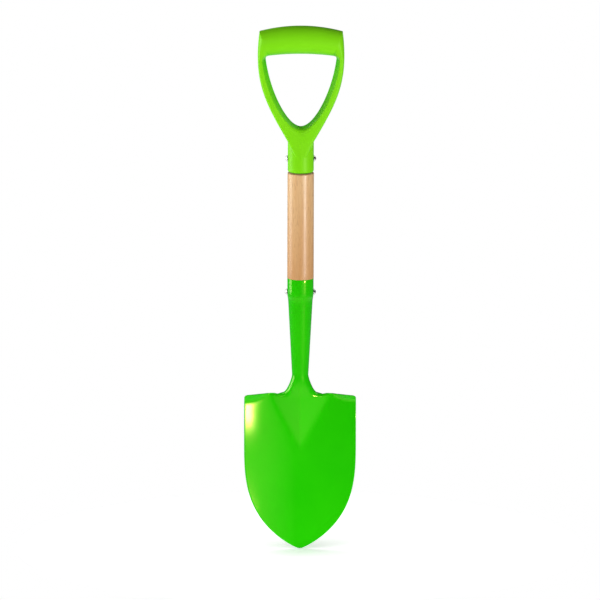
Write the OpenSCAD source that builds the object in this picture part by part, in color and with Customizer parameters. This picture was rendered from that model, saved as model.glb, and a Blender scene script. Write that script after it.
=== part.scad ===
// Short sand shovel: a blade pressed from one steel sheet, whose neck is rolled into a
// tapered socket, a turned wooden shaft, a moulded D-grip, and one rivet through each socket.
// Lengths are in millimetres. +Z runs up along the shaft and -Y is the hollow side of the
// blade. Heights are counted from the tip, and the whole shovel is then lowered so that the
// origin lies in the middle of the underside of the grip's bar, where the shovel hangs.

/* [Blade] */
// Width of the blade across its treads
blade_w = 117.8; // [104:0.2:136]
// Height from the tip to the treads
blade_len = 166.4; // [160:0.2:190]
// Height above the tip at which the sides stop widening
point_len = 118; // [100:1:150]
// Radius of the upper outer corners
corner_r = 3.2; // [2:0.1:5]
// Thickness of the steel sheet
sheet_t = 1.5; // [1:0.1:2]
// Depth of the dish between its middle and its sides
dish_depth = 11; // [7:0.5:14]
// How far the tip curves forward
tip_lift = 6.5; // [3:0.5:9]
// How far the blade leans back at the treads
top_lean = 4.5; // [2:0.5:6]

/* [Treads and frog] */
// Gap between the inner ends of the two treads
tread_gap = 54; // [50:0.5:60]
// How much lower a tread's outer end is than its inner end
tread_drop = 0.4; // [0:0.1:3]
// Height of the turned lip at a tread's outer end
lip_h = 5.5; // [4:0.1:8]
// Angle by which the lip leans forward
lip_angle = 48; // [35:1:55]
// Length of the frog, the ridge that runs down from the neck into the dish
frog_len = 55.5; // [48:0.5:64]
// Slope of the frog's two flanks
frog_angle = 17; // [13:0.5:22]

/* [Neck and socket] */
// Outer diameter of the neck where it is narrowest
neck_d = 17.3; // [15:0.1:19]
// Height over which the sheet rolls from flat to round
neck_len = 21; // [18:0.2:26]
// Height of the tapered part of the socket
cone_len = 83; // [70:0.5:100]
// Outer diameter of the tapered part at its upper end
cone_d = 26.2; // [24:0.1:26.6]
// Height of the straight band at the socket's mouth
band_len = 19; // [14:0.5:24]
// Outer diameter of the straight band
band_d = 27.8; // [27:0.1:29]
// Width of the open seam at the back of the socket
seam_gap = 1; // [0.5:0.1:2]

/* [Shaft] */
// Diameter of the wooden shaft between the two sockets
shaft_d = 28; // [27:0.1:30]
// Length of shaft that shows between the two sockets
bare_len = 115.2; // [90:0.2:160]
// Diameter of the turned end that goes into the grip
tenon_d = 21.6; // [19:0.1:22.5]
// Length of the turned end that goes into the grip
tenon_len = 36.5; // [28:0.5:38]
// Depth to which the wood reaches into the steel socket
foot_len = 78; // [60:0.5:84]

/* [Grip] */
// Outer diameter of the grip's socket
hub_d = 27.6; // [27:0.1:29]
// Height of the grip's socket below the arms
hub_len = 33.6; // [30:0.2:38]
// Height from the foot of the arms to the underside of the bar
arch_len = 93.8; // [88:0.2:104]
// Width of the grip across its arms
grip_w = 92.2; // [86:0.2:98]
// Width of the opening just below the bar
opening_w = 75; // [70:0.5:79]
// Height of solid plastic below the opening
web_h = 15.2; // [13:0.2:18]
// Diameter of the bar in its middle
bar_d = 30; // [27:0.1:31]
// Diameter of the bar at its ends
bar_end_d = 27.7; // [25:0.1:28.5]
// How much the bar's middle rises above its ends
bar_arch = 4.7; // [3:0.1:7]
// Depth of the arms from front to back
arm_depth = 24; // [21:0.2:26]
// Depth of the grip where the arms meet
web_depth = 27.4; // [26:0.1:27.6]
// Width of the bevel that runs down the inner side of each arm
arm_bevel = 4.2; // [2:0.1:5]
// Radius in the upper corners of the opening
opening_r = 3.4; // [2.5:0.1:5]

/* [Rivets] */
// Diameter of a rivet's shank
rivet_d = 4; // [3:0.1:5]
// Diameter of a rivet's head
head_d = 7; // [6:0.1:8]
// Height of a rivet's domed head
head_h = 2.4; // [1.8:0.1:3]
// Distance of the upper rivet from the grip's mouth
upper_rivet_in = 14; // [11:0.2:17]
// Distance of the lower rivet from the steel socket's mouth
lower_rivet_in = 15; // [10:0.2:15.5]

/* [Hidden] */
$fn = 96;

// Running values of the fits between the pieces
wood_gap = 0.25;
seat_gap = 0.1;
hole_gap = 0.1;
overrun = 1;
tiny = 0.001;

// Places that follow from the sizes above
half_w = blade_w / 2;
tread_in = tread_gap / 2;
frog_z = blade_len - frog_len;
neck_z = blade_len + neck_len;
step_len = 2.5;
cone_z = neck_z + cone_len;
band_z = cone_z + step_len;
mouth_z = band_z + band_len;
hub_z = mouth_z + bare_len;
arms_z = hub_z + hub_len;
bar_z = arms_z + arch_len;
lower_rivet_z = mouth_z - lower_rivet_in;
upper_rivet_z = hub_z + upper_rivet_in;

// Values of the blade's pressing
point_power = 3.13;
point_blunt = 0.806;
dish_back = 3;
dish_low_share = 0.6;
frog_crease = 2;
valley_soft = 1.6;
lip_soft = 2;
lip_zone = 12;
lip_start = 6;
lip_full = 8;
tread_rise = 1.5;
rise_out = 3.5;
rise_reach = 8.5;
rise_fade = 10;
roll_low = 3.5;
roll_soft_share = 0.3;
roll_power = 1.5;
edge_power = 2.6;
flare_r = 5.4;
flare_power = 1.2;
neck_turn = 165;
seam_close_share = 0.3;
edge_sag_share = 0.5;
edge_sag_power = 0.7;
edge_fade = 14;
row_sag_share = 0.25;
tip_zone = 24;

// Numbers of rows and columns of the blade's sheet
neck_cols = 16;
wing_cols = 8;
cols = neck_cols + wing_cols;
tip_rows = 10;
side_rows = 20;
lip_rows = 10;
body_rows = tip_rows + side_rows;
tread_row = body_rows + lip_rows;
tip_row_power = 1.5;
flare_rows = 12;
cone_rows = 5;
flare_row_power = 2;

// Values of the shaft's turned ends
shoulder_chamfer = 1.6;
end_chamfer = 1;
foot_taper = (neck_d - cone_d) / cone_len;

// Values of the grip's outline, as shares of its own sizes
bar_reach_share = 0.957;
outer_top_share = [1.102, 0.552];
outer_low_share = [0.845, 0.368];
inner_top_share = [0.877, 0.503];
inner_low_share = [0.366, 0];
web_tip_share = 0.9;
web_turn_share = 0.78;
web_bevel_share = 0.5;
arm_square = 4.5;
web_square = 6;
hub_lip_r = 1.6;
bar_rings = 7;
corner_rings = 5;
arm_rings = 18;
ring_points = 24;
bore_roof = 8;

function lerp(a, b, t) = a + (b - a) * t;
function clamp_share(t) = max(0, min(1, t));
function ease(t) = let (c = clamp_share(t)) c * c * (3 - 2 * c);
function soft_min(a, b, soft) = (a + b - sqrt(pow(a - b, 2) + soft * soft)) / 2;
function soft_max_zero(a, soft) = (a + sqrt(a * a + soft * soft)) / 2;
function degrees(a) = a * 180 / PI;
function bezier(a, b, c, d, t) =
    pow(1 - t, 3) * a + 3 * t * pow(1 - t, 2) * b + 3 * t * t * (1 - t) * c + pow(t, 3) * d;

// The front of the pressed sheet below the treads: a dish, with the frog standing out of it
dish_low = blade_len * dish_low_share;
function dish_y(x, z) =
    let (down = max(0, (dish_low - z) / dish_low))
    let (up = max(0, (z - dish_low) / (blade_len - dish_low)))
    dish_back - tip_lift * down * down + top_lean * up * up - dish_depth * pow(x / half_w, 2);
function crest_y(z) =
    lerp(-neck_d / 2, dish_y(0, frog_z), (neck_z - z) / (neck_z - frog_z));
function frog_y(x, z) =
    crest_y(z) + tan(frog_angle) * (sqrt(x * x + frog_crease * frog_crease) - frog_crease);

// The lip leans forward above a bend that runs along the tread and fades at its inner end, where
// the sheet's top edge rises a little, so that it runs straight until it turns up into the neck
function tread_z(x) =
    blade_len - tread_drop * max(0, (abs(x) - tread_in) / (half_w - tread_in));
function rise(x, z) =
    let (near = ease(1 - abs(abs(x) - tread_in - rise_out) / rise_reach))
    let (below = (blade_len - z) / lip_zone, above = (z - blade_len) / rise_fade)
    tread_rise * near * ease(1 - max(below, above));
function lip_share(x) =
    ease((abs(x) - tread_in + lip_start) / (half_w - lip_full - tread_in + lip_start));
function lip_y(x, z) =
    let (share = lip_share(x))
    share * tan(lip_angle) * soft_max_zero(lip_h * share - (tread_z(x) - z), lip_soft);
function sheet_y(x, z) = soft_min(frog_y(x, z), dish_y(x, z), valley_soft) - lip_y(x, z);

// The half width and the height of a row at the blade's edge, and its sag in the middle
function blade_w_at(z) =
    half_w * pow(1 - pow(1 - min(1, z / point_len), point_power), point_blunt);
function side_share(row) = (row - tip_rows) / side_rows;
function lip_left(row) = lip_zone * (1 - max(0, row - body_rows) / lip_rows);
function row_edge_z(row) =
    row <= tip_rows ? tip_zone * pow(row / tip_rows, tip_row_power)
    : row <= body_rows ? lerp(tip_zone, tread_z(half_w) - lip_zone, side_share(row))
    : tread_z(half_w) - lip_left(row);
function corner_cut(row) =
    let (down = max(0, corner_r - lip_left(row)))
    row <= body_rows ? 0 : corner_r - sqrt(corner_r * corner_r - down * down);
function row_sag(row) =
    row_sag_share * row_edge_z(row) * (1 - row_edge_z(row) / blade_len);
function wing_share(col) = (abs(col) - neck_cols) / wing_cols;
function col_x(row, col) =
    let (width = blade_w_at(row_edge_z(row)))
    let (inner = tread_in * width / half_w)
    let (x = abs(col) <= neck_cols ? inner * abs(col) / neck_cols
        : lerp(inner, width - corner_cut(row), wing_share(col)))
    sign(col) * x;
function col_z(row, x) =
    let (sag = row_sag(row) * (1 - pow(x / max(blade_w_at(row_edge_z(row)), tiny), 2)))
    row <= body_rows ? row_edge_z(row) - sag : tread_z(x) - lip_left(row);
function sheet_point(row, col) =
    let (x = col_x(row, col))
    rolled_point(x, col_z(row, x));

// From just below the treads up, the sheet leaves this form and rolls backward into the neck,
// the outer columns first, and their edges sag behind it
roll_z = blade_len - roll_low;
roll_len = neck_z - roll_z;
function rolled(z) =
    let (t = clamp_share((z - roll_z) / roll_len))
    let (soft = roll_soft_share)
    (norm([t, soft]) - soft) / (norm([1, soft]) - soft);
function socket_r(z) =
    z <= neck_z ? neck_d / 2
    : z <= cone_z ? lerp(neck_d, cone_d, (z - neck_z) / cone_len) / 2
    : lerp(cone_d, band_d, clamp_share((z - cone_z) / step_len)) / 2;
function full_turn(z) =
    let (closed = 180 - degrees(seam_gap / 2 / socket_r(z)))
    lerp(neck_turn, closed, ease((z - neck_z) / (cone_len * seam_close_share)));
function roll_move(x, z) =
    let (share = min(1, abs(x) / tread_in), flat_x = tread_in * share, roll = rolled(z))
    let (round = 1 - pow(1 - roll, roll_power + edge_power * share * share))
    let (wider = flare_r * pow(1 - roll, flare_power), turn = full_turn(z) * share)
    let (r = socket_r(z) + wider)
    let (sag = roll_len * edge_sag_share * share * share * pow(roll, edge_sag_power) * (1 - roll))
    let (fade = 1 - ease((abs(x) - tread_in) / edge_fade))
    let (in = round * (r * sin(turn) - flat_x))
    let (back = round * (wider - r * cos(turn) - sheet_y(flat_x, z)))
    fade * [sign(x) * in, back, -sag];
function rolled_point(x, z) = [x, sheet_y(x, z), z + rise(x, z)] + roll_move(x, z);
function roll_row(z) =
    [for (col = [-neck_cols : neck_cols]) rolled_point(tread_in * col / neck_cols, z)];
roll_heights = [
    for (k = [1 : flare_rows]) blade_len + neck_len * pow(k / flare_rows, flare_row_power),
    for (k = [1 : cone_rows]) neck_z + cone_len * k / cone_rows,
    band_z,
    mouth_z
];
last_row = tread_row + len(roll_heights);

// The front skin is a grid of rows; the rows above the treads hold only the neck's columns
front_rows = [
    for (row = [0 : tread_row]) [for (col = [-reach(row) : reach(row)]) sheet_point(row, col)],
    for (z = roll_heights) roll_row(z)
];
function reach(row) = row == 0 ? 0 : row <= tread_row ? cols : neck_cols;
function front(row, col) = front_rows[row][max(-reach(row), min(reach(row), col)) + reach(row)];
function top_row(col) = abs(col) <= neck_cols ? last_row : tread_row;
function sheet_normal(row, col) =
    let (across = front(max(row, 1), col + 1) - front(max(row, 1), col - 1))
    let (up = front(min(row + 1, top_row(col)), col) - front(max(row - 1, 0), col))
    let (n = cross(up, across))
    n / norm(n);
back_rows = [
    for (row = [0 : last_row])
        [for (col = [-reach(row) : reach(row)]) front(row, col) + sheet_t * sheet_normal(row, col)]
];
function flat_list(rows) = [for (row = rows) for (p = row) p];
wide = 2 * cols + 1;
narrow = 2 * neck_cols + 1;
skin_points = 1 + wide * tread_row + narrow * len(roll_heights);
function front_id(row, col) =
    row == 0 ? 0
    : row <= tread_row ? 1 + (row - 1) * wide + col + cols
    : 1 + tread_row * wide + (row - tread_row - 1) * narrow + col + neck_cols;
cells = [
    for (row = [1 : last_row - 1])
        for (col = [-reach(row + 1) : reach(row + 1) - 1]) [row, col]
];
rim = [
    for (row = [0 : tread_row - 1]) [row, cols],
    for (col = [cols : -1 : neck_cols + 1]) [tread_row, col],
    for (row = [tread_row : last_row - 1]) [row, neck_cols],
    for (col = [neck_cols : -1 : -neck_cols + 1]) [last_row, col],
    for (row = [last_row : -1 : tread_row + 1]) [row, -neck_cols],
    for (col = [-neck_cols : -1 : -cols + 1]) [tread_row, col],
    for (row = [tread_row : -1 : 1]) [row, -cols]
];
front_faces = [
    for (col = [-cols : cols - 1]) [0, front_id(1, col), front_id(1, col + 1)],
    for (c = cells) let (a = front_id(c[0], c[1]), b = front_id(c[0], c[1] + 1))
        let (d = front_id(c[0] + 1, c[1]), e = front_id(c[0] + 1, c[1] + 1))
        each c[1] < 0 ? [[a, d, b], [b, d, e]] : [[a, d, e], [a, e, b]]
];
back_faces = [for (f = front_faces) [f[2] + skin_points, f[1] + skin_points, f[0] + skin_points]];
rim_faces = [
    for (k = [0 : len(rim) - 1]) let (p = rim[k], q = rim[(k + 1) % len(rim)])
        let (a = front_id(p[0], p[1]), b = front_id(q[0], q[1]))
        each [[a, b, b + skin_points], [a, b + skin_points, a + skin_points]]
];

module sheet() {
    polyhedron(
        points = concat(flat_list(front_rows), flat_list(back_rows)),
        faces = concat(front_faces, back_faces, rim_faces),
        convexity = 8
    );
}

module rivet_hole(z) {
    translate([-half_w, 0, z])
        rotate([0, 90, 0])
            cylinder(d = rivet_d + 2 * hole_gap, h = blade_w);
}

module blade() {
    color([0.12, 0.72, 0.02])
        difference() {
            sheet();
            rivet_hole(lower_rivet_z);
        }
}

// The shaft is one turned piece: tapered foot, straight middle with chamfered shoulders, tenon
foot_top_r = band_d / 2 - sheet_t - wood_gap;
cone_top_r = cone_d / 2 - sheet_t - wood_gap;
foot_z = mouth_z - foot_len;
foot_low_r = cone_top_r + foot_taper * (cone_z - foot_z) / 2;
shoulder_z = mouth_z + seat_gap;
neck_shoulder_z = hub_z - seat_gap;
tenon_z = hub_z + tenon_len;
module shaft() {
    color([0.92, 0.73, 0.55])
        difference() {
            rotate_extrude()
                polygon([
                    [0, foot_z],
                    [foot_low_r - end_chamfer, foot_z],
                    [foot_low_r, foot_z + end_chamfer],
                    [cone_top_r, cone_z],
                    [foot_top_r, band_z + wood_gap],
                    [foot_top_r, shoulder_z],
                    [shaft_d / 2, shoulder_z],
                    [shaft_d / 2, neck_shoulder_z - shoulder_chamfer],
                    [shaft_d / 2 - shoulder_chamfer, neck_shoulder_z],
                    [tenon_d / 2, neck_shoulder_z],
                    [tenon_d / 2, tenon_z - end_chamfer],
                    [tenon_d / 2 - end_chamfer, tenon_z],
                    [0, tenon_z]
                ]);
            rivet_hole(lower_rivet_z);
            rivet_hole(upper_rivet_z);
        }
}

// The grip's loop is swept round its opening. A ring holds its point at the opening, its outer
// point, its depth, how square it is and the bevel that draws its front and back in beside the
// opening.
function bar_low_z(x) = bar_z - (bar_arch - (bar_d - bar_end_d) / 2) * pow(x / bar_half, 2);
function bar_top_z(x) = bar_z + bar_d - (bar_arch + (bar_d - bar_end_d) / 2) * pow(x / bar_half, 2);
bar_half = grip_w / 2 * bar_reach_share;
inner_half = opening_w / 2;
opening_z = arms_z + web_h;
corner_start = inner_half - opening_r;
corner_z = bar_low_z(corner_start) - opening_r;
bar_corner = [bar_half, bar_top_z(bar_half)];
arm_foot = [hub_d / 2, arms_z];
arm_drop = bar_corner[1] - arms_z;
function arm_outer(t) =
    bezier(bar_corner,
        [grip_w / 2 * outer_top_share[0], arms_z + arm_drop * outer_top_share[1]],
        [grip_w / 2 * outer_low_share[0], arms_z + arm_drop * outer_low_share[1]],
        arm_foot, t);
opening_drop = corner_z - opening_z;
function arm_inner(t) =
    bezier([inner_half, corner_z],
        [inner_half * inner_top_share[0], opening_z + opening_drop * inner_top_share[1]],
        [inner_half * inner_low_share[0], opening_z + opening_drop * inner_low_share[1]],
        [0, opening_z], t);
web_tip = [0, arms_z - hub_len * web_tip_share];
outer_start_share = 0.25;
function bar_ring(k) =
    let (t = k / bar_rings)
    let (low = t * corner_start, high = t * bar_half)
    [[low, bar_low_z(low)], [high, bar_top_z(high)], lerp(bar_d, bar_end_d, t * t), 2, 0];
function corner_ring(k) =
    let (t = k / corner_rings)
    let (turn = 90 * t)
    let (inner = [corner_start + opening_r * sin(turn), corner_z + opening_r * cos(turn)])
    let (outer = arm_outer(outer_start_share * t))
    [inner, outer, lerp(bar_end_d, arm_depth, t), lerp(2, arm_square, t), arm_bevel * t];
function arm_ring(k) =
    let (t = k / arm_rings)
    let (low = (t - web_turn_share) / (1 - web_turn_share))
    let (outer = t < web_turn_share ? arm_outer(lerp(outer_start_share, 1, t / web_turn_share))
        : lerp(arm_foot, web_tip, low))
    let (square = lerp(arm_square, web_square, ease(t)))
    let (bevel = arm_bevel * lerp(1, web_bevel_share, ease(t)))
    [arm_inner(t), outer, lerp(arm_depth, web_depth, ease(t)), square, bevel];
right_rings = [
    for (k = [0 : bar_rings]) bar_ring(k),
    for (k = [1 : corner_rings]) corner_ring(k),
    for (k = [1 : arm_rings]) arm_ring(k)
];
last_ring = len(right_rings) - 1;
loop_rings = 2 * last_ring;
function swell(c, square) = sign(c) * pow(abs(c), 2 / square);
function ring_point(ring, side, k) =
    let (turn = 360 * k / ring_points)
    let (middle = (ring[0] + ring[1]) / 2, half = norm(ring[1] - ring[0]) / 2)
    let (deep = swell(sin(turn), ring[3]))
    let (reach = half * swell(cos(turn), ring[3]))
    let (out = reach < 0 ? reach * (1 - abs(deep) * ring[4] / half) : reach)
    let (place = middle + (ring[1] - middle) * out / half)
    [side * place[0], deep * ring[2] / 2, place[1]];
function loop_ring(n) =
    let (ring = right_rings[n <= last_ring ? n : loop_rings - n])
    [for (k = [0 : ring_points - 1]) ring_point(ring, n <= last_ring ? 1 : -1, k)];
function loop_id(n, k) = (n % loop_rings) * ring_points + k % ring_points;

module loop() {
    polyhedron(
        points = [for (n = [0 : loop_rings - 1]) for (p = loop_ring(n)) p],
        faces = [
            for (n = [0 : loop_rings - 1])
                for (k = [0 : ring_points - 1])
                    each [
                        [loop_id(n, k), loop_id(n + 1, k + 1), loop_id(n + 1, k)],
                        [loop_id(n, k), loop_id(n, k + 1), loop_id(n + 1, k + 1)]
                    ]
        ],
        convexity = 6
    );
}

bore_z = opening_z - bore_roof;
module hub() {
    rotate_extrude() {
        polygon([
            [0, hub_z],
            [hub_d / 2 - hub_lip_r, hub_z],
            [hub_d / 2, hub_z + hub_lip_r],
            [hub_d / 2, arms_z],
            [0, arms_z]
        ]);
        translate([hub_d / 2 - hub_lip_r, hub_z + hub_lip_r])
            circle(r = hub_lip_r);
    }
}

module grip() {
    color([0.47, 0.86, 0.08])
        difference() {
            union() {
                loop();
                hub();
            }
            translate([0, 0, hub_z - overrun])
                cylinder(d = tenon_d + 2 * wood_gap, h = bore_z - hub_z + overrun);
            rivet_hole(upper_rivet_z);
        }
}

// A round-head rivet: a straight shank with a dome closed on each side of the socket
module rivet(z, socket_d) {
    seat = socket_d / 2 + seat_gap;
    dome_r = (head_d * head_d / 4 + head_h * head_h) / (2 * head_h);
    translate([0, 0, z])
        rotate([0, 90, 0]) {
            cylinder(d = rivet_d, h = 2 * seat, center = true);
            for (side = [0, 1])
                mirror([0, 0, side])
                    translate([0, 0, seat])
                        intersection() {
                            translate([0, 0, head_h - dome_r])
                                sphere(r = dome_r);
                            cylinder(d = head_d + 2 * overrun, h = head_h + overrun);
                        }
        }
}

module upper_rivet() {
    color([0.75, 0.75, 0.74])
        rivet(upper_rivet_z, hub_d);
}

module lower_rivet() {
    color([0.75, 0.75, 0.74])
        rivet(lower_rivet_z, band_d);
}

module placed() {
    translate([0, 0, -bar_z])
        children();
}

placed() blade();
placed() shaft();
placed() grip();
placed() upper_rivet();
placed() lower_rivet();
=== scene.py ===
"""Sand shovel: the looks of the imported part, built round its frame.

Shapes are worked out in millimetres above the blade's tip, as the construction is, and put
into the frame in metres at the end. +Z is up, and -Y is the hollow front of the blade.
"""
import math

import bmesh
import bpy
import numpy as np
from mathutils import Matrix, Vector


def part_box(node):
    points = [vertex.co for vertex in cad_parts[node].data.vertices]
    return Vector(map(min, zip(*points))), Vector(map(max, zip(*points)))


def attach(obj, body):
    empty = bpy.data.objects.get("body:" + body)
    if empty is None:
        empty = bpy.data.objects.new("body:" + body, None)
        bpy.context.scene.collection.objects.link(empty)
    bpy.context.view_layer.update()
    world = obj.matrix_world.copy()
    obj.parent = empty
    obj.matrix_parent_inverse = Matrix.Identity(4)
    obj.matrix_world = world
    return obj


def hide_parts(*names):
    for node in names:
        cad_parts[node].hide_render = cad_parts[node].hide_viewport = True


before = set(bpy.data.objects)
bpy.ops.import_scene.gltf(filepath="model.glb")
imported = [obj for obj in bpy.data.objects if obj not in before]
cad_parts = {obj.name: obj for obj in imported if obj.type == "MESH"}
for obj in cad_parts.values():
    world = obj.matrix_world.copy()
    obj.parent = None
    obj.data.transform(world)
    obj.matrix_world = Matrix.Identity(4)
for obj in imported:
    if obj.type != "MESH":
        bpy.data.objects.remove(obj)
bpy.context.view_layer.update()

MM = 0.001

# Blade, in millimetres
BLADE_W = 117.8
BLADE_LEN = 166.4
POINT_LEN = 118
POINT_POWER = 3.13
POINT_BLUNT = 0.806
CORNER_R = 3.2
SHEET_T = 1.5
EDGE_R = 0.45
TIP_ROUND = 0.08
DISH_DEPTH = 11
DISH_BACK = 3
DISH_LOW_SHARE = 0.6
TIP_LIFT = 6.5
TOP_LEAN = 4.5

# Treads and frog
TREAD_GAP = 54
TREAD_DROP = 0.4
LIP_H = 5.5
LIP_ANGLE = 48
LIP_SOFT = 2
LIP_ZONE = 12
LIP_START = 6
LIP_FULL = 8
TREAD_RISE = 1.5
RISE_OUT = 3.5
RISE_REACH = 8.5
RISE_FADE = 10
FROG_LEN = 55.5
FROG_ANGLE = 17
FROG_CREASE = 2
VALLEY_SOFT = 1.6

# Neck and socket
NECK_D = 17.3
NECK_LEN = 21
NECK_TURN = 165
CONE_LEN = 83
CONE_D = 26.2
STEP_LEN = 2.5
STEP_SOFT = 2
BAND_LEN = 19
BAND_D = 27.8
SEAM_GAP = 1
SEAM_CLOSE_SHARE = 0.3
FLARE_R = 5.4
FLARE_POWER = 1.2
ROLL_LOW = 3.5
ROLL_SOFT_SHARE = 0.3
ROLL_POWER = 1.5
EDGE_POWER = 2.6
EDGE_SAG_SHARE = 0.5
EDGE_SAG_POWER = 0.7
EDGE_FADE = 14

# Shaft
SHAFT_D = 28
TENON_D = 21.6
TENON_LEN = 36.5
WOOD_GAP = 0.25
SEAT_GAP = 0.1
SHOULDER_CHAMFER = 1.6
END_CHAMFER = 1
WOOD_EDGE_R = 0.4
FOOT_LEN = 78

# Grip
HUB_D = 27.6
HUB_LEN = 33.6
ARCH_LEN = 93.8
GRIP_W = 92.2
OPENING_W = 75
WEB_H = 15.2
BAR_D = 30
BAR_END_D = 27.7
BAR_ARCH = 4.7
ARM_DEPTH = 24
WEB_DEPTH = 27.4
ARM_BEVEL = 4.2
OPENING_R = 3.4
BAR_REACH_SHARE = 0.957
OUTER_TOP_SHARE = (1.102, 0.552)
OUTER_LOW_SHARE = (0.845, 0.368)
INNER_TOP_SHARE = (0.877, 0.503)
INNER_LOW_SHARE = (0.366, 0)
OUTER_START_SHARE = 0.25
WEB_TIP_SHARE = 0.9
WEB_TURN_SHARE = 0.78
WEB_BEVEL_SHARE = 0.5
ROUND = 2
ARM_SQUARE = 4.5
WEB_SQUARE = 6
HUB_LIP_R = 1.92
BORE_ROOF = 8

# Rivets
RIVET_D = 4
HEAD_D = 7
HEAD_H = 2.4
HEAD_RIM = 0.3
UPPER_RIVET_IN = 14
LOWER_RIVET_IN = 15

# Heights above the tip
NECK_Z = BLADE_LEN + NECK_LEN
CONE_Z = NECK_Z + CONE_LEN
BAND_Z = CONE_Z + STEP_LEN
MOUTH_Z = BAND_Z + BAND_LEN
FRAME_DROP = MOUTH_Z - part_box("blade")[1].z / MM
HUB_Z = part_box("grip")[0].z / MM + FRAME_DROP
ARMS_Z = HUB_Z + HUB_LEN
BAR_Z = ARMS_Z + ARCH_LEN

# Fineness of the meshes
NECK_COLS = 44
WING_COLS = 22
HALF_COLS = NECK_COLS + WING_COLS
TIP_ROWS = 30
SIDE_ROWS = 44
LIP_ROWS = 16
TIP_ZONE = 24
TIP_ROW_POWER = 1.5
ROW_BOW = 0.25
FLARE_ROWS = 44
CONE_ROWS = 26
STEP_ROWS = 5
BAND_ROWS = 6
EDGE_STEPS = 5
BAR_RINGS = 22
CORNER_RINGS = 14
ARM_RINGS = 64
RING_POINTS = 72
TURNED_SIDES = 128
HUB_SIDES = 144
RIVET_SIDES = 64
DOME_STEPS = 16
HUB_LIP_STEPS = 8
HUB_STEP = 3
SHARP_ANGLE = 32

# A turned form ends in a small flat face of this radius, not in a point on its axis
CORE_R = 0.4
RIVET_CORE_R = 0.02

# A cut goes this far past the face that it opens
CUT_PAST = 1

# Stands in for the blade's half width at the tip, where a division by it would fail
TINY = 0.001


def lerp(a, b, t):
    return a + (b - a) * t


def ease(t):
    t = np.clip(t, 0, 1)
    return t * t * (3 - 2 * t)


def soft_min(a, b, soft):
    return (a + b - np.sqrt((a - b) ** 2 + soft * soft)) / 2


def soft_max_zero(a, soft):
    return (a + np.sqrt(a * a + soft * soft)) / 2


def bezier(start, leave, arrive, end, t):
    """A point of the curve from start to end that leaves and arrives towards two others."""
    points = np.array((start, leave, arrive, end), float)
    return np.array(((1 - t) ** 3, 3 * t * (1 - t) ** 2, 3 * t * t * (1 - t), t**3)) @ points


def unit(rows):
    return rows / np.linalg.norm(rows, axis=1)[:, None]


def make_mesh(name, points, faces):
    """A smooth object from points in millimetres above the tip."""
    placed = (np.asarray(points, float) - (0, 0, FRAME_DROP)) * MM
    mesh = bpy.data.meshes.new(name)
    mesh.from_pydata(placed.tolist(), [], faces)
    mesh.update()
    thing = bpy.data.objects.new(name, mesh)
    bpy.context.scene.collection.objects.link(thing)
    mesh.shade_smooth()
    return thing


# The pressed sheet below the treads
HALF_W = BLADE_W / 2
TREAD_IN = TREAD_GAP / 2
FROG_Z = BLADE_LEN - FROG_LEN
DISH_LOW = BLADE_LEN * DISH_LOW_SHARE


def dish_y(x, z):
    down = np.maximum(0, (DISH_LOW - z) / DISH_LOW)
    up = np.maximum(0, (z - DISH_LOW) / (BLADE_LEN - DISH_LOW))
    return DISH_BACK - TIP_LIFT * down**2 + TOP_LEAN * up**2 - DISH_DEPTH * (x / HALF_W) ** 2


def frog_y(x, z):
    crest = lerp(-NECK_D / 2, dish_y(0, FROG_Z), (NECK_Z - z) / (NECK_Z - FROG_Z))
    flank = np.sqrt(x * x + FROG_CREASE**2) - FROG_CREASE
    return crest + math.tan(math.radians(FROG_ANGLE)) * flank


def tread_z(x):
    return BLADE_LEN - TREAD_DROP * np.maximum(0, (abs(x) - TREAD_IN) / (HALF_W - TREAD_IN))


def rise(x, z):
    """How far the sheet's top edge is drawn up beside the neck."""
    near = ease(1 - abs(abs(x) - TREAD_IN - RISE_OUT) / RISE_REACH)
    away = np.maximum((BLADE_LEN - z) / LIP_ZONE, (z - BLADE_LEN) / RISE_FADE)
    return TREAD_RISE * near * ease(1 - away)


def lip_y(x, z):
    """How far a tread is turned forward, nothing beside the neck and most at the sides."""
    share = ease((abs(x) - TREAD_IN + LIP_START) / (HALF_W - LIP_FULL - TREAD_IN + LIP_START))
    lean = math.tan(math.radians(LIP_ANGLE))
    return share * lean * soft_max_zero(LIP_H * share - (tread_z(x) - z), LIP_SOFT)


def sheet_y(x, z):
    return soft_min(frog_y(x, z), dish_y(x, z), VALLEY_SOFT) - lip_y(x, z)


def blade_half_w(z):
    return HALF_W * (1 - (1 - np.minimum(1, z / POINT_LEN)) ** POINT_POWER) ** POINT_BLUNT


# From just below the treads up, the sheet leaves this form and rolls backward into the neck
ROLL_Z = BLADE_LEN - ROLL_LOW
ROLL_LEN = NECK_Z - ROLL_Z
SIDE_TOP_Z = tread_z(HALF_W)


def rolled(z):
    t = np.clip((z - ROLL_Z) / ROLL_LEN, 0, 1)
    soft = ROLL_SOFT_SHARE
    return (np.hypot(t, soft) - soft) / (math.hypot(1, soft) - soft)


def socket_r(z):
    cone = lerp(NECK_D, CONE_D, np.maximum(z - NECK_Z, 0) / CONE_LEN) / 2
    step = ease((z - CONE_Z + STEP_SOFT) / (STEP_LEN + 2 * STEP_SOFT))
    return lerp(np.minimum(cone, CONE_D / 2), BAND_D / 2, step)


def full_turn(z):
    """The angle from the front of the socket to the seam at its back."""
    closed = math.pi - SEAM_GAP / 2 / socket_r(z)
    return lerp(math.radians(NECK_TURN), closed, ease((z - NECK_Z) / (CONE_LEN * SEAM_CLOSE_SHARE)))


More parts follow.
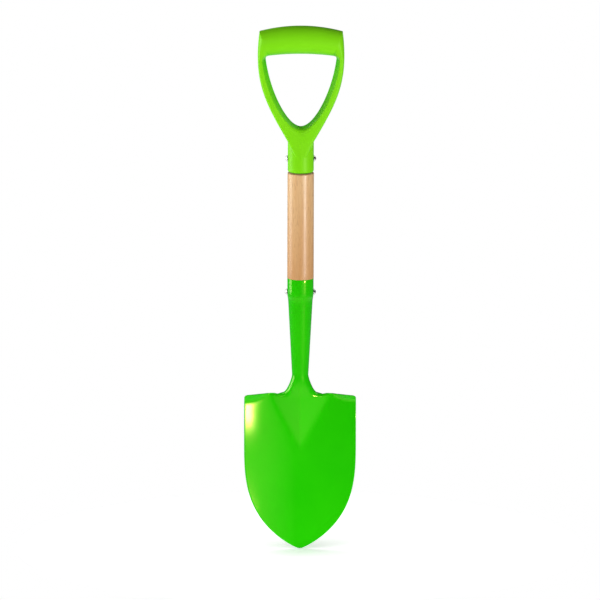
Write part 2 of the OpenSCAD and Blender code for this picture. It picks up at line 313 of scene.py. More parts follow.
def rolled_points(x, z):
    """Points of the front skin from their places on the sheet before it is rolled."""
    share = np.minimum(1, abs(x) / TREAD_IN)
    flat_x = TREAD_IN * share
    roll = rolled(z)
    bent = 1 - (1 - roll) ** (ROLL_POWER + EDGE_POWER * share**2)
    wider = FLARE_R * (1 - roll) ** FLARE_POWER
    turn = full_turn(z) * share
    r = socket_r(z) + wider
    sag = ROLL_LEN * EDGE_SAG_SHARE * share**2 * roll**EDGE_SAG_POWER * (1 - roll)
    fade = 1 - ease((abs(x) - TREAD_IN) / EDGE_FADE)
    inward = bent * (r * np.sin(turn) - flat_x)
    back = bent * (wider - r * np.cos(turn) - sheet_y(flat_x, z))
    up = rise(x, z) - fade * sag
    return np.stack([x + np.sign(x) * fade * inward, sheet_y(x, z) + fade * back, z + up], 1)


def edge_heights():
    """Heights of the blade's rows where they meet its edge, from the tip to the treads."""
    tip = TIP_ZONE * (np.arange(TIP_ROWS + 1) / TIP_ROWS) ** TIP_ROW_POWER
    lip_low = SIDE_TOP_Z - LIP_ZONE
    side = np.linspace(TIP_ZONE, lip_low, SIDE_ROWS + 1)[1:]
    lip = np.linspace(lip_low, SIDE_TOP_Z, LIP_ROWS + 1)[1:]
    return np.concatenate([tip, side, lip])


def edge_outline(heights):
    """The blade's edge from the tip to the treads, drawn in by the radius of the sheet's edge."""
    in_corner = np.maximum(0, CORNER_R - (SIDE_TOP_Z - heights))
    cut = CORNER_R - np.sqrt(np.maximum(CORNER_R**2 - in_corner**2, 0))
    edge = np.stack([blade_half_w(heights) - cut, heights], 1)
    along = np.gradient(edge, axis=0)
    along[0] = (1, 0)
    along = unit(along)
    inward = np.stack([-along[:, 1], along[:, 0]], 1)
    drawn = edge + EDGE_R * inward
    drawn[:, 1] = np.minimum(drawn[:, 1], SIDE_TOP_Z - EDGE_R)
    drawn[0] = (0, EDGE_R + TIP_ROUND)
    return drawn


def lower_sheet():
    """Rows of points on the front skin from the tip, whose row is one point, to the treads."""
    cols = np.arange(-HALF_COLS, HALF_COLS + 1)
    size = abs(cols)
    wing = (size - NECK_COLS) / WING_COLS
    rows = []
    for row, (edge_x, edge_z) in enumerate(edge_outline(edge_heights())):
        inner = TREAD_IN * edge_x / HALF_W if edge_x < HALF_W - CORNER_R else TREAD_IN
        out = np.where(size <= NECK_COLS, inner * size / NECK_COLS, lerp(inner, edge_x, wing))
        x = np.sign(cols) * out
        if row <= TIP_ROWS + SIDE_ROWS:
            bow = ROW_BOW * edge_z * (1 - edge_z / BLADE_LEN)
            z = edge_z - bow * (1 - (x / max(edge_x, TINY)) ** 2)
        else:
            z = tread_z(x) - (SIDE_TOP_Z - edge_z)
        rows.append(rolled_points(x, z))
    return rows


def upper_sheet():
    """Rows of points above the treads, from the neck's flare to the socket's mouth."""
    low = BLADE_LEN - EDGE_R
    flare = low + (NECK_Z - low) * (np.arange(1, FLARE_ROWS + 1) / FLARE_ROWS) ** 2
    cone = np.linspace(NECK_Z, CONE_Z, CONE_ROWS + 1)[1:]
    step = np.linspace(CONE_Z, BAND_Z, STEP_ROWS + 1)[1:]
    band = np.linspace(BAND_Z, MOUTH_Z - EDGE_R, BAND_ROWS + 1)[1:]
    share = np.arange(-NECK_COLS, NECK_COLS + 1) / NECK_COLS
    rows = []
    for z in np.concatenate([flare, cone, step, band]):
        drawn = TREAD_IN - EDGE_R * ease((z - low) / ROLL_LOW)
        rows.append(rolled_points(drawn * share, np.full(len(share), z)))
    return rows


def row_normals(below, row, above):
    """Normals of a row from the rows on both sides of it and from its own neighbours."""
    right = np.concatenate([row[1:], row[-1:]])
    left = np.concatenate([row[:1], row[:-1]])
    return unit(np.cross(above - below, right - left))


def sheet_normals(lower, upper):
    """Unit normals that point through the sheet from its front skin to its back skin."""
    neck = slice(WING_COLS, -WING_COLS)
    above_treads = lower[-1].copy()
    above_treads[neck] = upper[0]
    below = lower[:1] + lower[:-1]
    above = lower[1:] + [above_treads]
    normals = [row_normals(*rows) for rows in zip(below, lower[1:2] + lower[1:], above)]
    below = [lower[-1][neck]] + upper[:-1]
    above = upper[1:] + upper[-1:]
    return normals + [row_normals(*rows) for rows in zip(below, upper, above)]


def skin_faces(reach, middle):
    """Faces of the front skin: a fan round the tip, then rows of four-sided faces."""
    faces = [(0, middle[1] + col, middle[1] + col + 1) for col in range(-reach[1], reach[1])]
    for row in range(1, len(reach) - 1):
        span = min(reach[row], reach[row + 1])
        for col in range(-span, span):
            low = middle[row] + col
            high = middle[row + 1] + col
            faces.append((low, high, high + 1, low + 1))
    return faces


def rim_places(reach, tread_row):
    """The sheet's edge once round, as rows and columns, up the right side from the tip."""
    last_row = len(reach) - 1
    right = [(row, reach[row]) for row in range(tread_row)]
    right += [(tread_row, col) for col in range(HALF_COLS, NECK_COLS, -1)]
    right += [(row, NECK_COLS) for row in range(tread_row, last_row)]
    mouth = [(last_row, col) for col in range(NECK_COLS, -NECK_COLS, -1)]
    left = [(row, -NECK_COLS) for row in range(last_row, tread_row, -1)]
    left += [(tread_row, col) for col in range(-NECK_COLS, -HALF_COLS, -1)]
    left += [(row, -reach[row]) for row in range(tread_row, 0, -1)]
    return right + mouth + left


def edge_offsets():
    """Steps round the sheet's edge, as distances outward and through the sheet."""
    turns = [math.pi / 2 * k / EDGE_STEPS for k in range(EDGE_STEPS + 1)]
    front = [(EDGE_R * math.sin(t), EDGE_R * (1 - math.cos(t))) for t in turns[1:]]
    back = [(EDGE_R * math.cos(t), SHEET_T - EDGE_R * (1 - math.sin(t))) for t in turns[:-1]]
    return front + back


def band_faces(low, high):
    """Faces between two closed rings of point numbers."""
    count = len(low)
    return [(low[k], low[(k + 1) % count], high[(k + 1) % count], high[k]) for k in range(count)]


def make_blade():
    """One sheet with two skins and a rounded edge all round it."""
    lower = lower_sheet()
    upper = upper_sheet()
    normals = sheet_normals(lower, upper)
    front = np.concatenate([lower[0][:1]] + lower[1:] + upper)
    through = np.concatenate([normals[0][HALF_COLS : HALF_COLS + 1]] + normals[1:])
    tread_row = len(lower) - 1
    reach = [0] + [HALF_COLS] * tread_row + [NECK_COLS] * len(upper)
    middle = [sum(2 * r + 1 for r in reach[:row]) + reach[row] for row in range(len(reach))]
    faces = skin_faces(reach, middle)
    faces += [tuple(i + len(front) for i in reversed(face)) for face in faces]

    ids = [middle[row] + col for row, col in rim_places(reach, tread_row)]
    rim = front[ids]
    inward = through[ids]
    outward = unit(np.cross(inward, np.roll(rim, -1, axis=0) - np.roll(rim, 1, axis=0)))
    points = [front, front + SHEET_T * through]
    rings = [ids]
    count = 2 * len(front)
    for out, deep in edge_offsets():
        points.append(rim + out * outward + deep * inward)
        rings.append(list(range(count, count + len(ids))))
        count += len(ids)
    rings.append([i + len(front) for i in ids])
    for low, high in zip(rings, rings[1:]):
        faces += band_faces(low, high)
    return make_mesh("blade_pressing", np.concatenate(points), faces)


def revolve(profile, sides=TURNED_SIDES):
    """Points and faces of a closed profile of (radius, height) turned about the shaft's axis."""
    angles = np.linspace(0, 2 * math.pi, sides, endpoint=False)
    points = [(r * math.cos(a), r * math.sin(a), z) for r, z in profile for a in angles]
    rings = [range(k * sides, (k + 1) * sides) for k in range(len(profile))]
    faces = []
    for low, high in zip(rings, rings[1:]):
        faces += band_faces(low, high)
    faces.append(tuple(reversed(rings[0])))
    faces.append(tuple(rings[-1]))
    return points, faces


def rounded(corners, radius, steps=4):
    """A profile with each corner between its two ends rounded by a radius."""
    made = [corners[0]]
    for before, corner, after in zip(corners, corners[1:], corners[2:]):
        corner = np.array(corner, float)
        back, on = before - corner, after - corner
        back_len, on_len = np.linalg.norm(back), np.linalg.norm(on)
        r = min(radius, back_len / 2, on_len / 2)
        start = corner + back / back_len * r
        end = corner + on / on_len * r
        for k in range(steps + 1):
            t = k / steps
            made.append(tuple((1 - t) ** 2 * start + 2 * t * (1 - t) * corner + t * t * end))
    made.append(corners[-1])
    return made


def stretch_profile(profile, longest=6):
    """Adds points so that no step of a profile is longer than this."""
    made = [profile[0]]
    for start, end in zip(profile, profile[1:]):
        start, end = np.array(start, float), np.array(end, float)
        parts = max(1, math.ceil(np.linalg.norm(end - start) / longest))
        made += [tuple(lerp(start, end, k / parts)) for k in range(1, parts + 1)]
    return made


def make_shaft():
    """The turned wood: tapered foot, straight middle, chamfered shoulders and tenon."""
    foot_top_r = BAND_D / 2 - SHEET_T - WOOD_GAP
    cone_top_r = CONE_D / 2 - SHEET_T - WOOD_GAP
    foot_z = MOUTH_Z - FOOT_LEN
    foot_low_r = cone_top_r - (CONE_D - NECK_D) / CONE_LEN * (CONE_Z - foot_z) / 2
    low = MOUTH_Z + SEAT_GAP
    high = HUB_Z - SEAT_GAP
    top = HUB_Z + TENON_LEN
    corners = [
        (CORE_R, foot_z),
        (foot_low_r - END_CHAMFER, foot_z),
        (foot_low_r, foot_z + END_CHAMFER),
        (cone_top_r, CONE_Z),
        (foot_top_r, BAND_Z + WOOD_GAP),
        (foot_top_r, low),
        (SHAFT_D / 2, low),
        (SHAFT_D / 2, high - SHOULDER_CHAMFER),
        (SHAFT_D / 2 - SHOULDER_CHAMFER, high),
        (TENON_D / 2, high),
        (TENON_D / 2, top - END_CHAMFER),
        (TENON_D / 2 - END_CHAMFER, top),
        (CORE_R, top),
    ]
    return make_mesh("turned_shaft", *revolve(stretch_profile(rounded(corners, WOOD_EDGE_R))))


# The grip's loop, swept round its opening
BAR_HALF = GRIP_W / 2 * BAR_REACH_SHARE
BAR_LOW_SAG = BAR_ARCH - (BAR_D - BAR_END_D) / 2
BAR_TOP_SAG = BAR_ARCH + (BAR_D - BAR_END_D) / 2
INNER_HALF = OPENING_W / 2
CORNER_START = INNER_HALF - OPENING_R
OPENING_Z = ARMS_Z + WEB_H


def bar_low(x):
    return BAR_Z - BAR_LOW_SAG * (x / BAR_HALF) ** 2


def bar_top(x):
    return BAR_Z + BAR_D - BAR_TOP_SAG * (x / BAR_HALF) ** 2


CORNER_Z = bar_low(CORNER_START) - OPENING_R
BAR_CORNER = (BAR_HALF, bar_top(BAR_HALF))
ARM_FOOT = (HUB_D / 2, ARMS_Z)
WEB_TIP = (0, ARMS_Z - HUB_LEN * WEB_TIP_SHARE)


def arm_outer(t):
    drop = BAR_CORNER[1] - ARMS_Z
    return bezier(
        BAR_CORNER,
        (GRIP_W / 2 * OUTER_TOP_SHARE[0], ARMS_Z + drop * OUTER_TOP_SHARE[1]),
        (GRIP_W / 2 * OUTER_LOW_SHARE[0], ARMS_Z + drop * OUTER_LOW_SHARE[1]),
        ARM_FOOT,
        t,
    )


def arm_inner(t):
    drop = CORNER_Z - OPENING_Z
    return bezier(
        (INNER_HALF, CORNER_Z),
        (INNER_HALF * INNER_TOP_SHARE[0], OPENING_Z + drop * INNER_TOP_SHARE[1]),
        (INNER_HALF * INNER_LOW_SHARE[0], OPENING_Z + drop * INNER_LOW_SHARE[1]),
        (0, OPENING_Z),
        t,
    )


# A ring is its inner and outer point, its depth, its squareness and its bevel
def bar_rings():
    """From the middle of the bar to its right end."""
    rings = []
    for k in range(BAR_RINGS + 1):
        t = k / BAR_RINGS
        inner = (t * CORNER_START, bar_low(t * CORNER_START))
        outer = (t * BAR_HALF, bar_top(t * BAR_HALF))
        rings.append((inner, outer, lerp(BAR_D, BAR_END_D, t * t), ROUND, 0))
    return rings


def corner_rings():
    """Round the opening's upper right corner."""
    rings = []
    for k in range(1, CORNER_RINGS + 1):
        t = k / CORNER_RINGS
        turn = math.pi / 2 * t
        inner = (CORNER_START + OPENING_R * math.sin(turn), CORNER_Z + OPENING_R * math.cos(turn))
        outer = arm_outer(OUTER_START_SHARE * t)
        square = lerp(ROUND, ARM_SQUARE, t)
        rings.append((inner, outer, lerp(BAR_END_D, ARM_DEPTH, t), square, ARM_BEVEL * t))
    return rings


def arm_rings():
    """Down the right arm to the middle of the web."""
    rings = []
    for k in range(1, ARM_RINGS + 1):
        t = k / ARM_RINGS
        if t < WEB_TURN_SHARE:
            outer = arm_outer(lerp(OUTER_START_SHARE, 1, t / WEB_TURN_SHARE))
        else:
            low = (t - WEB_TURN_SHARE) / (1 - WEB_TURN_SHARE)
            outer = lerp(np.array(ARM_FOOT), np.array(WEB_TIP), low)
        share = float(ease(t))
        square = lerp(ARM_SQUARE, WEB_SQUARE, share)
        bevel = ARM_BEVEL * lerp(1, WEB_BEVEL_SHARE, share)
        rings.append((arm_inner(t), outer, lerp(ARM_DEPTH, WEB_DEPTH, share), square, bevel))
    return rings


def ring_points(ring, side):
    """A ring's points: a square-cornered oval whose side to the opening is bevelled."""
    inner, outer, depth, square, bevel = ring
    inner, outer = np.array(inner, float), np.array(outer, float)
    half = np.linalg.norm(outer - inner) / 2
    turn = 2 * math.pi * np.arange(RING_POINTS) / RING_POINTS
    cos, sin = np.cos(turn), np.sin(turn)
    out = np.sign(cos) * abs(cos) ** (2 / square)
    deep = np.sign(sin) * abs(sin) ** (2 / square)
    out = np.where(out < 0, out * (1 - abs(deep) * bevel / half), out)
    place = (inner + outer) / 2 + np.outer(out, (outer - inner) / 2)
    return np.stack([side * place[:, 0], deep * depth / 2, place[:, 1]], 1)


def make_loop():
    """The bar, the arms and the web as one closed loop of rings."""
    right = bar_rings() + corner_rings() + arm_rings()
    rings = [ring_points(ring, 1) for ring in right]
    rings += [ring_points(ring, -1) for ring in right[-2:0:-1]]
    numbers = [range(n * RING_POINTS, (n + 1) * RING_POINTS) for n in range(len(rings))]
    faces = []
    for low, high in zip(numbers, numbers[1:] + numbers[:1]):
        faces += band_faces(low, high)
    return make_mesh("moulded_grip", np.concatenate(rings), faces)


def apply_modifiers(thing):
    graph = bpy.context.evaluated_depsgraph_get()
    made = bpy.data.meshes.new_from_object(thing.evaluated_get(graph))
    thing.modifiers.clear()
    thing.data = made


def apply_boolean(thing, tool, kind):
    step = thing.modifiers.new("join", "BOOLEAN")
    step.operation = kind
    step.solver = "EXACT"
    step.object = tool
    apply_modifiers(thing)
    bpy.data.objects.remove(tool)


def smooth_by_angle(thing, degrees):
    """Marks every edge that turns more than this as sharp."""
    limit = math.radians(degrees)
    made = bmesh.new()
    made.from_mesh(thing.data)
    for edge in made.edges:
        edge.smooth = len(edge.link_faces) == 2 and edge.calc_face_angle(0) < limit
    made.to_mesh(thing.data)
    made.free()


def make_grip():
    """The loop joined to its round hub, with the bore for the tenon."""
    grip = make_loop()
    corners = [(CORE_R, HUB_Z), (HUB_D / 2, HUB_Z), (HUB_D / 2, ARMS_Z)]
    profile = rounded(corners, HUB_LIP_R, HUB_LIP_STEPS) + [(CORE_R, ARMS_Z)]
    hub = make_mesh("hub", *revolve(stretch_profile(profile, HUB_STEP), HUB_SIDES))
    apply_boolean(grip, hub, "UNION")
    bore_r = TENON_D / 2 + WOOD_GAP
    bore_ends = [(bore_r, HUB_Z - CUT_PAST), (bore_r, OPENING_Z - BORE_ROOF)]
    bore = make_mesh("bore", *revolve(bore_ends))
    apply_boolean(grip, bore, "DIFFERENCE")
    grip.data.shade_smooth()
    smooth_by_angle(grip, SHARP_ANGLE)
    return grip


def make_rivet(name, z, socket_d):
    """A shank with a domed head at each end, lying along X."""
    seat = socket_d / 2 + SEAT_GAP
    dome_r = (HEAD_D**2 / 4 + HEAD_H**2) / (2 * HEAD_H)
    reach = math.asin(HEAD_D / 2 / dome_r)
    profile = [
        (RIVET_CORE_R, 0),
        (RIVET_D / 2, 0),
        (RIVET_D / 2, seat),
        (HEAD_D / 2 - HEAD_RIM, seat),
    ]
    for k in range(DOME_STEPS + 1):
        turn = reach * (1 - k / DOME_STEPS)
        height = seat + HEAD_H - dome_r * (1 - math.cos(turn))
        profile.append((max(RIVET_CORE_R, dome_r * math.sin(turn)), height))
    points, faces = revolve(profile, RIVET_SIDES)
    half = np.array(points)
    right = np.stack([half[:, 2], half[:, 1], -half[:, 0] + z], 1)
    left = right * (-1, 1, 1)
    flipped = [tuple(i + len(half) for i in reversed(face)) for face in faces]
    return make_mesh(name, np.concatenate([right, left]), faces + flipped)


# Materials, in linear colours
PAINT_TONES = ((0.014, 0.63, 0.0005), (0.021, 0.68, 0.001))
PAINT_WORN = (0.008, 0.42, 0.001)
GRIP_TONES = ((0.24, 0.86, 0.004), (0.27, 0.91, 0.007))
# Painted shade: the grip's darker colour in its hollows
GRIP_PAINTED_SHADE = (0.015, 0.68, 0.001)
WOOD_TONES = ((0.99, 0.67, 0.34), (0.88, 0.52, 0.23))
WOOD_FIBRE = (0.66, 0.34, 0.14)
WOOD_FLECK = (0.5, 0.25, 0.12)
# Painted shade: the wood's colour towards the bottom of the shaft
WOOD_PAINTED_SHADE = (0.62, 0.27, 0.08)
# Painted shadow: the dark line at the wood's shoulder under the grip
WOOD_PAINTED_GAP_SHADOW = (0.24, 0.12, 0.04)
STEEL_TONES = ((0.62, 0.62, 0.6), (0.8, 0.8, 0.78))

# How far the wood's grain and its flecks are drawn out along the shaft
GRAIN_STRETCH = (1, 1, 0.045)
FLECK_STRETCH = (1, 1, 0.14)

# Frame heights between which painted shade makes the wood darker towards the bottom, and the width
# of the edge of the painted shadow line at the shoulder
WOOD_LIGHT_Z = -0.14
WOOD_DARK_Z = -0.26
GAP_SHADOW_SOFT = 0.5 * MM

# A place counts as hollow by what stands round it within this reach, in metres
HOLLOW_REACH = 0.08
HOLLOW_SAMPLES = 32

# The colour sockets of a Mix node
MIX_A = 6
MIX_B = 7
MIX_RESULT = 2


class Graph:
    """Short calls for the nodes of one material or world."""

    def __init__(self, tree):
        self.nodes = tree.nodes
        self.links = tree.links

    def feed(self, node, feeds):
        """Links or sets a node's sockets, each given by its name or number."""
        for socket, value in feeds.items():
            if hasattr(value, "node"):
                self.links.new(value, node.inputs[socket])
            else:
                node.inputs[socket].default_value = value

    def add(self, kind, feeds=None):
        node = self.nodes.new(kind)
        self.feed(node, feeds or {})
        return node

    def place(self):
        return self.add("ShaderNodeTexCoord").outputs["Object"]

    def stretched(self, place, scale):
        return self.add("ShaderNodeMapping", {"Vector": place, "Scale": scale}).outputs["Vector"]

    def noise(self, place, scale, detail=2, roughness=0.5):
        feeds = {"Vector": place, "Scale": scale, "Detail": detail, "Roughness": roughness}
        return self.add("ShaderNodeTexNoise", feeds).outputs["Fac"]

    def spread(self, value, found, wanted):
        """Maps the range found to the range wanted, and no further."""
        feeds = {"Value": value, "From Min": found[0], "From Max": found[1]}
        feeds.update({"To Min": wanted[0], "To Max": wanted[1]})
        return self.add("ShaderNodeMapRange", feeds).outputs["Result"]

    def bump(self, height, strength, distance, before=None):
        feeds = {"Height": height, "Strength": strength, "Distance": distance}
        if before is not None:
            feeds["Normal"] = before
        return self.add("ShaderNodeBump", feeds).outputs["Normal"]

    def mix(self, factor, a, b):
        """A colour between two, each a colour or another node's output."""
        node = self.nodes.new("ShaderNodeMix")
        node.data_type = "RGBA"
        colours = [c if hasattr(c, "node") else (*c, 1) for c in (a, b)]
        self.feed(node, {0: factor, MIX_A: colours[0], MIX_B: colours[1]})
        return node.outputs[MIX_RESULT]

    def math(self, kind, a, b):
        node = self.nodes.new("ShaderNodeMath")
        node.operation = kind
        self.feed(node, {0: a, 1: b})
        return node.outputs[0]

    def openness(self):
        """From 0 in a deep hollow to 1 where nothing stands round a place."""
        node = self.add("ShaderNodeAmbientOcclusion", {"Distance": HOLLOW_REACH})
        node.samples = HOLLOW_SAMPLES
        return node.outputs["AO"]

    def rays(self):
        """Whether a ray comes from the camera or through glass, and whether it is mirrored."""
        path = self.add("ShaderNodeLightPath").outputs
        seen = self.math("MAXIMUM", path["Is Camera Ray"], path["Is Transmission Ray"])
        return seen, path["Is Glossy Ray"]


def new_material(name):
    material = bpy.data.materials.new(name)
    material.use_nodes = True
    graph = Graph(material.node_tree)
    return material, graph, graph.nodes["Principled BSDF"]


def blade_paint():
    """Gloss powder coat with a slight orange peel, darker where the sheet's edges wear."""
    material, graph, shader = new_material("green_powder_coat")
    place = graph.place()
    clouds = graph.noise(place, scale=14, detail=3)
    peel = graph.bump(graph.noise(place, scale=620), strength=0.25, distance=0.06 * MM)
    grain = graph.noise(place, scale=2400, detail=1)
    tone = graph.mix(graph.spread(clouds, (0.3, 0.7), (0, 1)), *PAINT_TONES)
    edges = graph.add("ShaderNodeNewGeometry").outputs["Pointiness"]
    worn = graph.spread(edges, (0.56, 0.72), (0, 0.5))
    graph.feed(shader, {
        "Base Color": graph.mix(worn, tone, PAINT_WORN),
        "Roughness": graph.spread(clouds, (0.25, 0.75), (0.12, 0.16)),
        "Normal": graph.bump(grain, strength=0.08, distance=0.02 * MM, before=peel),
        "Specular IOR Level": 0.35,
        "Specular Tint": (1, 1, 0.06, 1),
        "Coat Weight": 0.15,
        "Coat Roughness": 0.12,
    })
    return material


def grip_plastic():
    """Moulded plastic with a fine grain, and painted shade that makes it deeper in tone in the
    hollows inside the loop.
    """
    material, graph, shader = new_material("moulded_plastic")
    place = graph.place()
    clouds = graph.noise(place, scale=22, detail=3)
    tone = graph.mix(graph.spread(clouds, (0.3, 0.7), (0, 1)), *GRIP_TONES)
    # Painted shade: the colour turns darker and deeper green where the loop closes round a place
    hollow = graph.spread(graph.openness(), (0.6, 0.88), (1, 0))
    grain = graph.noise(place, scale=1500)
    graph.feed(shader, {
        "Base Color": graph.mix(hollow, tone, GRIP_PAINTED_SHADE),
        "Roughness": graph.spread(clouds, (0.25, 0.75), (0.4, 0.5)),
        "Normal": graph.bump(grain, strength=0.15, distance=0.04 * MM),
        "Specular IOR Level": 0.25,
        "Specular Tint": (1, 1, 0.5, 1),
    })
    return material


def shaft_wood():
    """Lacquered beech: broad bands, fibres and short flecks along the shaft, with painted shade
    towards the bottom and a painted shadow line at the shoulder under the grip.
    """
    material, graph, shader = new_material("beech")
    place = graph.place()
    along = graph.stretched(place, GRAIN_STRETCH)
    bands = graph.noise(along, scale=170, detail=3, roughness=0.6)
    fibres = graph.noise(along, scale=1400, roughness=0.6)
    flecks = graph.noise(graph.stretched(place, FLECK_STRETCH), scale=1150, detail=0)
    tone = graph.mix(graph.spread(bands, (0.34, 0.66), (0, 1)), *WOOD_TONES)
    tone = graph.mix(graph.spread(fibres, (0.3, 0.75), (0, 0.35)), tone, WOOD_FIBRE)
    tone = graph.mix(graph.spread(flecks, (0.66, 0.72), (0, 0.35)), tone, WOOD_FLECK)
    z = graph.add("ShaderNodeSeparateXYZ", {"Vector": place}).outputs["Z"]
    # Painted shade: the wood grows darker towards the bottom of the shaft
    tone = graph.mix(graph.spread(z, (WOOD_LIGHT_Z, WOOD_DARK_Z), (0, 0.7)), tone, WOOD_PAINTED_SHADE)
    # Painted shadow: a dark line on the wood's shoulder, where the grip's socket shades the gap
    shoulder = (HUB_Z - SHOULDER_CHAMFER - FRAME_DROP) * MM
    gap_shadow_edge = (shoulder - GAP_SHADOW_SOFT, shoulder + GAP_SHADOW_SOFT)
    tone = graph.mix(graph.spread(z, gap_shadow_edge, (0, 0.8)), tone, WOOD_PAINTED_GAP_SHADOW)
    graph.feed(shader, {
        "Base Color": tone,
        "Roughness": graph.spread(fibres, (0.3, 0.7), (0.3, 0.42)),
        "Normal": graph.bump(fibres, strength=0.2, distance=0.05 * MM),
    })
    return material


def rivet_steel():
    """Bright plated steel with faint marks."""
    material, graph, shader = new_material("plated_steel")
    marks = graph.noise(graph.place(), scale=900, detail=3)
    graph.feed(shader, {
        "Base Color": graph.mix(marks, *STEEL_TONES),
        "Metallic": 1,
        "Roughness": graph.spread(marks, (0.3, 0.7), (0.14, 0.28)),
        "Normal": graph.bump(marks, strength=0.2, distance=0.04 * MM),
    })
    return material


def dress(thing, material, node):
    thing.data.materials.clear()
    thing.data.materials.append(material)
    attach(thing, "root")
    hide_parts(node)


# Studio, in metres
WHITE = (1, 1, 1, 1)
FLOOR_R = 0.3
FLOOR_SIDES = 128
FLOOR_COLOUR = (0.85, 0.85, 0.85, 1)
FLOOR_ROUGHNESS = 0.9

# The floor's light to the camera in the open and close under the blade, and to the object
FLOOR_GLOW = 0.78
FLOOR_SHADE = 0.2
FLOOR_BOUNCE = 0.45
HALF_OPEN = 0.5

# The room's light in front and above, and below
ROOM_DARK = 0.06
ROOM_LIGHT = 0.34

# The room changes over these parts of a ray's unit direction, two along Z and the last along Y
BELOW = (-0.1, -0.45)
FLOOR_BEYOND = (-0.28, -0.42)
BACKDROP = (0.985, 0.999)


def floor_white():
    """White to the camera and in mirrors, with a soft shadow close under the blade."""
    material, graph, shader = new_material("white_floor")
    seen, mirrored = graph.rays()
    shade = graph.spread(graph.openness(), (HALF_OPEN, 1), (FLOOR_SHADE, FLOOR_GLOW))
    glow = graph.math("MULTIPLY", graph.math("MAXIMUM", seen, mirrored), shade)
    graph.feed(shader, {
        "Base Color": FLOOR_COLOUR,
        "Roughness": FLOOR_ROUGHNESS,
        "Specular IOR Level": 0,
        "Emission Color": WHITE,
        "Emission Strength": graph.math("MAXIMUM", glow, FLOOR_BOUNCE),
    })
    return material


def make_floor():
    made = bmesh.new()
    bmesh.ops.create_circle(made, cap_ends=True, radius=FLOOR_R, segments=FLOOR_SIDES)
    mesh = bpy.data.meshes.new("floor")
    made.to_mesh(mesh)
    made.free()
    mesh.materials.append(floor_white())
    floor = bpy.data.objects.new("floor", mesh)
    floor.location = (0, 0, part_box("blade")[0].z)
    bpy.context.scene.collection.objects.link(floor)


def make_world():
    """A white studio: bright below and behind, darker elsewhere, pure white to the camera."""
    world = bpy.data.worlds.new("studio")
    bpy.context.scene.world = world
    world.use_nodes = True
    graph = Graph(world.node_tree)
    ray = graph.add("ShaderNodeTexCoord").outputs["Generated"]
    part = graph.add("ShaderNodeSeparateXYZ", {"Vector": ray}).outputs
    below = graph.spread(part["Z"], BELOW, (ROOM_DARK, ROOM_LIGHT))
    floor_beyond = graph.spread(part["Z"], FLOOR_BEYOND, (0, 1))
    behind = graph.spread(part["Y"], BACKDROP, (0, 1))
    seen, mirrored = graph.rays()
    mirrored = graph.math("MULTIPLY", mirrored, graph.math("MAXIMUM", behind, floor_beyond))
    room = graph.nodes["Background"]
    graph.feed(room, {"Color": WHITE, "Strength": below})
    white = graph.add("ShaderNodeBackground", {"Color": WHITE, "Strength": 1})
    share = graph.math("MAXIMUM", seen, mirrored)
    mix = graph.add("ShaderNodeMixShader", {0: share, 1: room.outputs[0], 2: white.outputs[0]})
    graph.feed(graph.nodes["World Output"], {"Surface": mix.outputs[0]})


# The places that the lamps face
BLADE_MIDDLE = Vector((0, 0, -0.43))
SHAFT_MIDDLE = Vector((0, 0, -0.2))

# The right front light is a few panels, each a little further round, further off and narrower
SOFT_STEPS = 4
SOFT_TURN = 2
SOFT_AWAY = 0.1
SOFT_WIDTH = 2.7
SOFT_HEIGHT = 1.4
SOFT_NARROWER = 0.4
RIGHT_FRONT_RADIANCE = 1.1


def around(azimuth, away, z):
    """A place round the shaft; azimuth 0 is in front and 90 is to the right."""
    turn = math.radians(azimuth)
    return Vector((math.sin(turn) * away, -math.cos(turn) * away, z))


def add_softbox(name, place, target, size, radiance):
    """A rectangular light that faces a point."""
    light = bpy.data.lights.new(name, "AREA")
    light.shape = "RECTANGLE"
    light.size = size[0]
    light.size_y = size[1]
    light.energy = radiance * math.pi * size[0] * size[1]
    lamp = bpy.data.objects.new(name, light)
    lamp.location = place
    lamp.rotation_euler = (place - target).to_track_quat("Z", "Y").to_euler()
    bpy.context.scene.collection.objects.link(lamp)


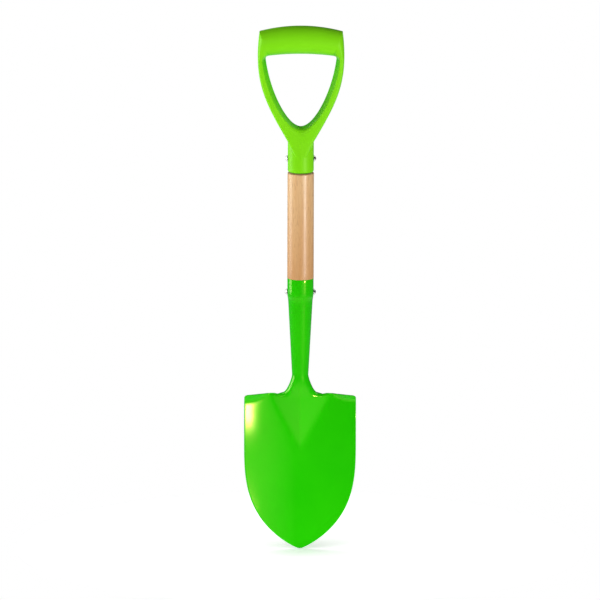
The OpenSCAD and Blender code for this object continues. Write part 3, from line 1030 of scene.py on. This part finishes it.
def make_lights():
    key_place = around(azimuth=38.5, away=3, z=-0.5)
    add_softbox("key", key_place, BLADE_MIDDLE, size=(0.4, 0.2), radiance=140)
    add_softbox("key", key_place, BLADE_MIDDLE, size=(0.75, 0.4), radiance=6)
    for step in range(SOFT_STEPS):
        place = around(azimuth=28.5 + SOFT_TURN * step, away=3.1 + SOFT_AWAY * step, z=-0.6)
        size = (SOFT_WIDTH - SOFT_NARROWER * step, SOFT_HEIGHT)
        add_softbox("right_front", place, BLADE_MIDDLE, size, RIGHT_FRONT_RADIANCE / SOFT_STEPS)
    for azimuth in (130, -130):
        place = around(azimuth, away=1.8, z=0.9)
        add_softbox("back", place, SHAFT_MIDDLE, size=(0.8, 0.8), radiance=2)
    add_softbox("top", Vector((0, -0.5, 0.9)), SHAFT_MIDDLE, size=(1, 1), radiance=0.3)
    place = around(azimuth=-98, away=1.25, z=-0.05)
    add_softbox("left_side", place, SHAFT_MIDDLE, size=(0.7, 1), radiance=5.5)
    place = around(azimuth=-35, away=1.25, z=0.2)
    add_softbox("left_front", place, SHAFT_MIDDLE, size=(0.9, 0.5), radiance=3.2)


# Camera: at the photograph's angle, which looks down a little through a very long lens
ELEVATION = 11.4
MM_PER_PIXEL = 1.06
PICTURE = 600
TIP_PIXEL = (299.7, 548.7)
ROLL = 0.16
CAMERA_AWAY = 4


def make_camera():
    camera = bpy.data.cameras.new("camera")
    camera.type = "ORTHO"
    camera.ortho_scale = PICTURE * MM_PER_PIXEL * MM
    tilt, roll = math.radians(ELEVATION), math.radians(ROLL)
    back = Vector((0, -math.cos(tilt), math.sin(tilt)))
    upright = Vector((0, math.sin(tilt), math.cos(tilt)))
    right = Vector((math.cos(roll), 0, 0)) + upright * math.sin(roll)
    up = back.cross(right)
    tip = Vector((0, (DISH_BACK - TIP_LIFT) * MM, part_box("blade")[0].z))
    right_of_tip = (PICTURE / 2 - TIP_PIXEL[0]) * MM_PER_PIXEL * MM
    over_tip = (TIP_PIXEL[1] - PICTURE / 2) * MM_PER_PIXEL * MM
    middle = tip + right * right_of_tip + up * over_tip
    thing = bpy.data.objects.new("camera", camera)
    thing.location = middle + back * CAMERA_AWAY
    thing.rotation_euler = Matrix((right, up, back)).transposed().to_euler()
    bpy.context.scene.collection.objects.link(thing)
    bpy.context.scene.camera = thing


make_camera()
make_floor()
make_world()
make_lights()

dress(make_blade(), blade_paint(), "blade")
dress(make_shaft(), shaft_wood(), "shaft")
dress(make_grip(), grip_plastic(), "grip")
steel = rivet_steel()
for node, z, socket_d in (
    ("upper_rivet", HUB_Z + UPPER_RIVET_IN, HUB_D),
    ("lower_rivet", MOUTH_Z - LOWER_RIVET_IN, BAND_D),
):
    dress(make_rivet("domed_" + node, z, socket_d), steel, node)

bpy.context.scene.view_settings.view_transform = "Standard"
